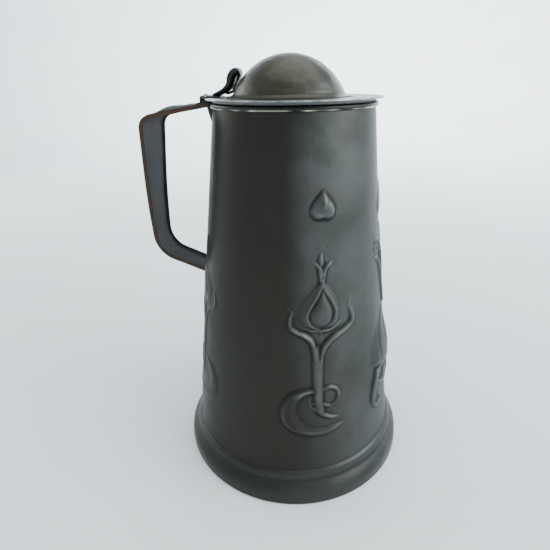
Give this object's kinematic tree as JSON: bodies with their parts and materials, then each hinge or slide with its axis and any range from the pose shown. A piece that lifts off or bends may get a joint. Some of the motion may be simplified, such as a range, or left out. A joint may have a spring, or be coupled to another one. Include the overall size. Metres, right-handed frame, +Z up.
{
  "type": "lidded pewter tankard",
  "caption": "Tall tapered lidded tankard of dark pewter: raised relief on the body, spread foot, strap handle, hinged domed lid with a looped thumbpiece.",
  "frame": {"origin": "on the body's axis in the plane that the foot stands on", "axes": "+Z up along the body's axis, -X towards the handle, +X towards the pouring side, Y along the lid's hinge pin"},
  "size_m": [0.1831, 0.1688, 0.2779],
  "materials": {
    "body_pewter": "dark patinated pewter, satin, grey-green",
    "foot_pewter": "dark patinated pewter, satin",
    "lid_pewter": "patinated pewter, hammered, satin, lighter than the body",
    "handle_pewter": "dark patinated pewter with brown rubbed edges",
    "rim_metal": "rubbed bright pewter with a coppery lower edge",
    "hinge_metal": "dark, matt",
    "inner_pewter": "dull unpolished pewter"
  },
  "bodies": {
    "vessel": {"body_wall": "body_pewter", "rim_bead": "rim_metal", "foot_skirt": "foot_pewter", "foot_edge_wire": "foot_pewter", "bottom_disc": "inner_pewter", "handle_strap": "handle_pewter", "handle_foot": "handle_pewter", "handle_tongue": "handle_pewter", "hinge_fixed_leaf": "hinge_metal", "hinge_pin": "hinge_metal"},
    "lid": {"hinge_lid_leaf": "hinge_metal", "lid_brim": "lid_pewter", "lid_collar": "inner_pewter", "lid_dome": "lid_pewter", "thumbpiece": "handle_pewter"}
  },
  "joints": [
    {"name": "lid_hinge", "type": "hinge", "parent": "vessel", "child": "lid", "pos_m": [-0.0548, 0, 0.2538], "axis": [0, -1, 0], "range_deg": [0, 105]}
  ]
}
